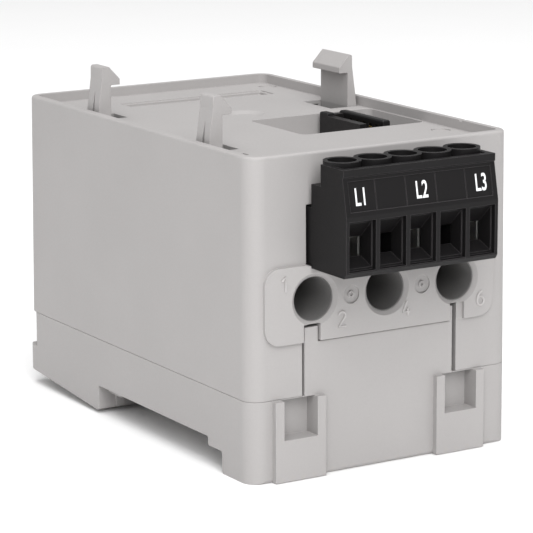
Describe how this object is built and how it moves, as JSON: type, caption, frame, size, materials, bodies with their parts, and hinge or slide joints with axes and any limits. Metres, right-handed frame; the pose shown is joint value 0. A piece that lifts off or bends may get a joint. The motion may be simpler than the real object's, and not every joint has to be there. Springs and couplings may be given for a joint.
{
  "type": "solid state overload relay base",
  "caption": "Sensing base of a modular solid state relay: clips on a 35 mm rail, with pass-through conductor bores, a pull-off voltage terminal and latches for the module above.",
  "frame": {"origin": "centre of the seat for the 35 mm rail, on the plane of its two shoulders, midway across the 45 mm width", "axes": "+X to the right along the terminal face, +Y from the terminal face to the back, +Z from the rail to the latches"},
  "size_m": [0.045, 0.0798, 0.0538],
  "materials": {
    "housing_grey": "fine moulded texture",
    "terminal_black": "semi-matte moulded",
    "connector_black": "smooth moulded",
    "carrier_black": "moulded",
    "board_green": "solder mask",
    "chip_black": "moulded epoxy",
    "resistor_black": "coated ceramic",
    "capacitor_can": "drawn",
    "core_metal": "wound tape",
    "winding_copper": "enamelled copper wire",
    "contact_gold": "gold plated",
    "contact_tin": "tin plated",
    "clamp_steel": "zinc plated",
    "spring_steel": "bright"
  },
  "bodies": {
    "housing": {"upper_housing": "housing_grey", "base_housing": "housing_grey", "rail_clip_spring": "spring_steel", "ground_fault_core": "core_metal", "ground_fault_winding": "winding_copper", "sensor_carrier": "carrier_black", "winding_pins": "contact_tin", "main_board": "board_green", "board_screws": "clamp_steel", "controller_chip": "chip_black", "signal_chips": "chip_black", "capacitors": "capacitor_can", "divider_resistors": "resistor_black", "link_connector": "connector_black", "link_contacts": "contact_gold", "plug_header": "terminal_black", "header_pins": "contact_tin", "conductor_tube_left": "housing_grey", "current_core_left": "core_metal", "current_winding_left": "winding_copper", "conductor_tube_middle": "housing_grey", "current_core_middle": "core_metal", "current_winding_middle": "winding_copper", "conductor_tube_right": "housing_grey", "current_core_right": "core_metal", "current_winding_right": "winding_copper"},
    "terminal_plug": {"plug_housing": "terminal_black", "plug_contact_1": "contact_tin", "plug_contact_2": "contact_tin", "plug_contact_3": "contact_tin"},
    "screw_1": {"clamp_screw_1": "clamp_steel"},
    "cage_1": {"clamp_cage_1": "clamp_steel"},
    "screw_2": {"clamp_screw_2": "clamp_steel"},
    "cage_2": {"clamp_cage_2": "clamp_steel"},
    "screw_3": {"clamp_screw_3": "clamp_steel"},
    "cage_3": {"clamp_cage_3": "clamp_steel"},
    "rear_left_arm": {"rear_left_latch": "housing_grey"},
    "front_left_arm": {"front_left_latch": "housing_grey"},
    "right_arm": {"right_latch": "housing_grey"},
    "clip_slider": {"rail_clip": "housing_grey"}
  },
  "joints": [
    {"name": "plug_pull", "type": "slide", "parent": "housing", "child": "terminal_plug", "axis": [0, -1, 0], "range_m": [0, 0.009]},
    {"name": "clamp_turn_1", "type": "hinge", "parent": "terminal_plug", "child": "screw_1", "pos_m": [-0.01016, -0.0312, 0.038], "axis": [0, 0, -1], "range_deg": [0, 1296]},
    {"name": "clamp_rise_1", "type": "slide", "parent": "terminal_plug", "child": "cage_1", "axis": [0, 0, 1], "range_m": [0, 0.00181]},
    {"name": "clamp_turn_2", "type": "hinge", "parent": "terminal_plug", "child": "screw_2", "pos_m": [0, -0.0312, 0.038], "axis": [0, 0, -1], "range_deg": [0, 1296]},
    {"name": "clamp_rise_2", "type": "slide", "parent": "terminal_plug", "child": "cage_2", "axis": [0, 0, 1], "range_m": [0, 0.00181]},
    {"name": "clamp_turn_3", "type": "hinge", "parent": "terminal_plug", "child": "screw_3", "pos_m": [0.01016, -0.0312, 0.038], "axis": [0, 0, -1], "range_deg": [0, 1296]},
    {"name": "clamp_rise_3", "type": "slide", "parent": "terminal_plug", "child": "cage_3", "axis": [0, 0, 1], "range_m": [0, 0.00181]},
    {"name": "rear_left_release", "type": "hinge", "parent": "housing", "child": "rear_left_arm", "pos_m": [-0.01957, 0.0227, 0.0414], "axis": [0, -1, 0], "range_deg": [0, 10], "stiffness_Nm_per_rad": 0.15},
    {"name": "front_left_release", "type": "hinge", "parent": "housing", "child": "front_left_arm", "pos_m": [-0.01957, -0.0107, 0.0414], "axis": [0, -1, 0], "range_deg": [0, 10], "stiffness_Nm_per_rad": 0.15},
    {"name": "right_release", "type": "hinge", "parent": "housing", "child": "right_arm", "pos_m": [0.0199, 0.016, 0.0414], "axis": [0, 1, 0], "range_deg": [0, 10], "stiffness_Nm_per_rad": 0.15},
    {"name": "rail_clip_slide", "type": "slide", "parent": "housing", "child": "clip_slider", "axis": [0, -1, 0], "range_m": [0, 0.0025], "stiffness_N_per_m": 800, "springref_m": -0.001, "deforming": ["rail_clip_spring"]}
  ],
  "couplings": [
    {"joint": "clamp_rise_1", "follows": "clamp_turn_1", "m_per_rad": 0.000079577},
    {"joint": "clamp_rise_2", "follows": "clamp_turn_2", "m_per_rad": 0.000079577},
    {"joint": "clamp_rise_3", "follows": "clamp_turn_3", "m_per_rad": 0.000079577}
  ]
}
